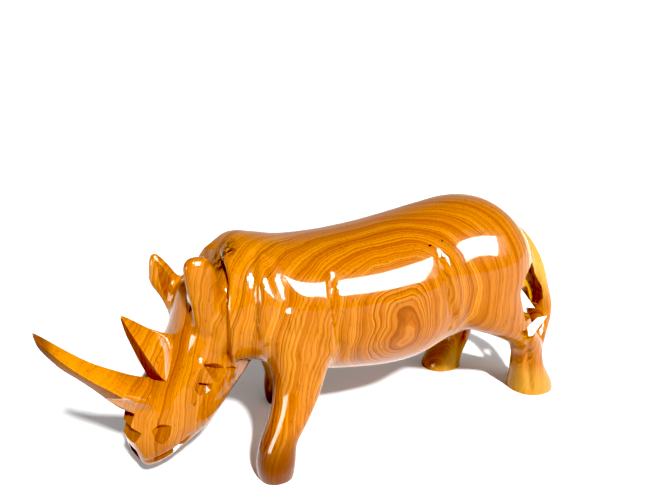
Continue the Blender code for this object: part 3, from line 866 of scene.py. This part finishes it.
def rhinoceros():
    lacquered = wood("lacquered_wood")
    # The horns' lower facets: the lacquered wood darkened as painted shade, since they face down away from
    # the light.
    shaded_lower_facets = wood("lower_facet_painted_shade", 0.70, 0.6)
    bark = wood("bark_in_the_knot", 0.95, 0.5)
    knife_cut = wood("knife_cut_wood", 0.34, 0.45)
    # Torn wood of the soles and the tail hollow; its pale fibres are partly painted light.
    rough_cut = wood("rough_cut_wood", 0.0, 0.4, 0.75)
    carving = fused([torso(), head(), tail(), *legs(), *ears(), *cheek_ridges()])
    folded(carving)
    skin = surface_of(carving)
    carving.data.materials.append(lacquered)
    rows = [
        ("soles", sole(), rough_cut),
        ("ear hollows", ear_chips(skin), knife_cut),
        ("pits", pits(skin), bark),
    ]
    rows += [(f"tail bore {i}", bore, rough_cut) for i, bore in enumerate(tail_bores())]
    rows += [(f"face chips {i}", pair, knife_cut) for i, pair in enumerate(face_chips(skin))]
    rows += [(f"muzzle flat {i}", [hull], lacquered) for i, hull in enumerate(muzzle_flats())]
    rows += [(f"muzzle notch {i}", [hull], knife_cut) for i, hull in enumerate(muzzle_notches())]
    shapers = [(made, "UNION") for made in horns(lacquered, shaded_lower_facets)]
    shapers += [(cutter(name, hulls, finish), "DIFFERENCE") for name, hulls, finish in rows]
    for other, operation in shapers:
        change = carving.modifiers.new(other.name, "BOOLEAN")
        change.operation = operation
        change.solver = "EXACT"
        change.material_mode = "TRANSFER"
        change.object = other
    made = baked(carving, "rhinoceros_figurine")
    made.data.transform(Matrix.Translation(TO_THE_MIDDLE))
    for used, _ in shapers:
        bpy.data.objects.remove(used)
    made.data.shade_smooth()
    made.data.set_sharp_from_angle(angle=radians(SHARP_FROM))
    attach(made, "root")
    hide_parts("rhinoceros")
    return made


TABLE_RADIUS = 3.0
ROOM_LIGHT = 0.38
HORIZON_LIGHT = 0.5
KEY_LIGHT = 5.4
# What the photo shows as black and as white.
BLACK_LEVEL = 0.06
WHITE_LEVEL = 0.86
# The camera that took the photo: its sensor in mm, and its focal length and width in pixels.
SENSOR_WIDTH = 36
FOCAL_PIXELS = 620
PHOTO_PIXELS = 650


def table_top():
    mesh = bmesh.new()
    bmesh.ops.create_circle(mesh, cap_ends=True, segments=96, radius=TABLE_RADIUS)
    data = bpy.data.meshes.new("table_top")
    mesh.to_mesh(data)
    mesh.free()
    made = bpy.data.objects.new("table_top", data)
    bpy.context.scene.collection.objects.link(made)
    finish = Finish("white_paper")
    finish.fill(finish.shader, {
        "Base Color": (0.86, 0.86, 0.86, 1),
        "Roughness": 0.9,
        "Specular IOR Level": 0.1,
    })
    data.materials.append(finish.material)


def lamp(name, kind, azimuth, elevation, distance=3.0):
    """A light that shines on the figure from a direction given in degrees."""
    data = bpy.data.lights.new(name, kind)
    made = bpy.data.objects.new(name, data)
    a, e = radians(azimuth), radians(elevation)
    aim = Vector((cos(a) * cos(e), sin(a) * cos(e), sin(e)))
    made.location = aim * distance + Vector((0, 0, 0.05))
    made.rotation_euler = aim.to_track_quat("Z", "Y").to_euler()
    bpy.context.scene.collection.objects.link(made)
    return made


def window(name, radiance, azimuth, elevation, distance, width, height, roll=0.0):
    """A pane of even brightness, seen across the given width and height when three metres away."""
    pane = lamp(name, "AREA", azimuth, elevation, distance)
    pane.rotation_euler.rotate_axis("Z", radians(roll))
    width, height = width * distance / 3, height * distance / 3
    pane.data.shape = "RECTANGLE"
    pane.data.size = width
    pane.data.size_y = height
    pane.data.energy = radiance * pi * width * height
    return pane


def pale_room(scene):
    """A dim white room that the camera itself sees as plain white."""
    scene.world = bpy.data.worlds.new("pale room")
    scene.world.use_nodes = True
    nodes, links = scene.world.node_tree.nodes, scene.world.node_tree.links
    room = nodes["Background"]
    room.inputs["Color"].default_value = (1, 1, 1, 1)
    seen = nodes.new("ShaderNodeLightPath")
    strength = nodes.new("ShaderNodeMapRange")
    strength.inputs["To Max"].default_value = 1.0
    towards = nodes.new("ShaderNodeTexCoord")
    parts = nodes.new("ShaderNodeSeparateXYZ")
    haze = nodes.new("ShaderNodeMapRange")
    haze.interpolation_type = "SMOOTHSTEP"
    haze.inputs["From Min"].default_value = -0.05
    haze.inputs["From Max"].default_value = 0.45
    haze.inputs["To Min"].default_value = HORIZON_LIGHT
    haze.inputs["To Max"].default_value = ROOM_LIGHT
    links.new(towards.outputs["Generated"], parts.inputs["Vector"])
    links.new(parts.outputs["Z"], haze.inputs["Value"])
    links.new(haze.outputs["Result"], strength.inputs["To Min"])
    links.new(seen.outputs["Is Camera Ray"], strength.inputs["Value"])
    links.new(strength.outputs["Result"], room.inputs["Strength"])


def studio():
    """The soft window light on a white table, and the camera where the photo was taken from."""
    scene = bpy.context.scene
    view = scene.view_settings
    view.view_transform = "Standard"
    view.use_curve_mapping = True
    view.curve_mapping.black_level = [BLACK_LEVEL] * 3
    view.curve_mapping.white_level = [WHITE_LEVEL] * 3
    pale_room(scene)
    key = lamp("key", "SUN", azimuth=-95, elevation=40)
    key.data.angle = radians(4)
    key.data.energy = KEY_LIGHT
    window("window", radiance=2.0, azimuth=-62, elevation=30, distance=3.0, width=2.4, height=1.3, roll=-21)
    near_sheen = window("window_sheen", radiance=34.0, azimuth=-66, elevation=31.5, distance=2.8,
                        width=1.8, height=1.35, roll=-20)
    far_sheen = window("far_window_sheen", radiance=16.0, azimuth=-168, elevation=4, distance=2.6,
                       width=1.3, height=1.2)
    for sheen in (near_sheen, far_sheen):
        sheen.visible_diffuse = False
    table_top()
    data = bpy.data.cameras.new("camera")
    data.sensor_width = SENSOR_WIDTH
    data.lens = SENSOR_WIDTH * FOCAL_PIXELS / PHOTO_PIXELS
    data.clip_start = 0.01
    camera = bpy.data.objects.new("camera", data)
    camera.location = (-0.1175, -0.2237, 0.150)
    camera.rotation_euler = (radians(75), 0, radians(-27))
    scene.collection.objects.link(camera)
    scene.camera = camera


studio()
rhinoceros()
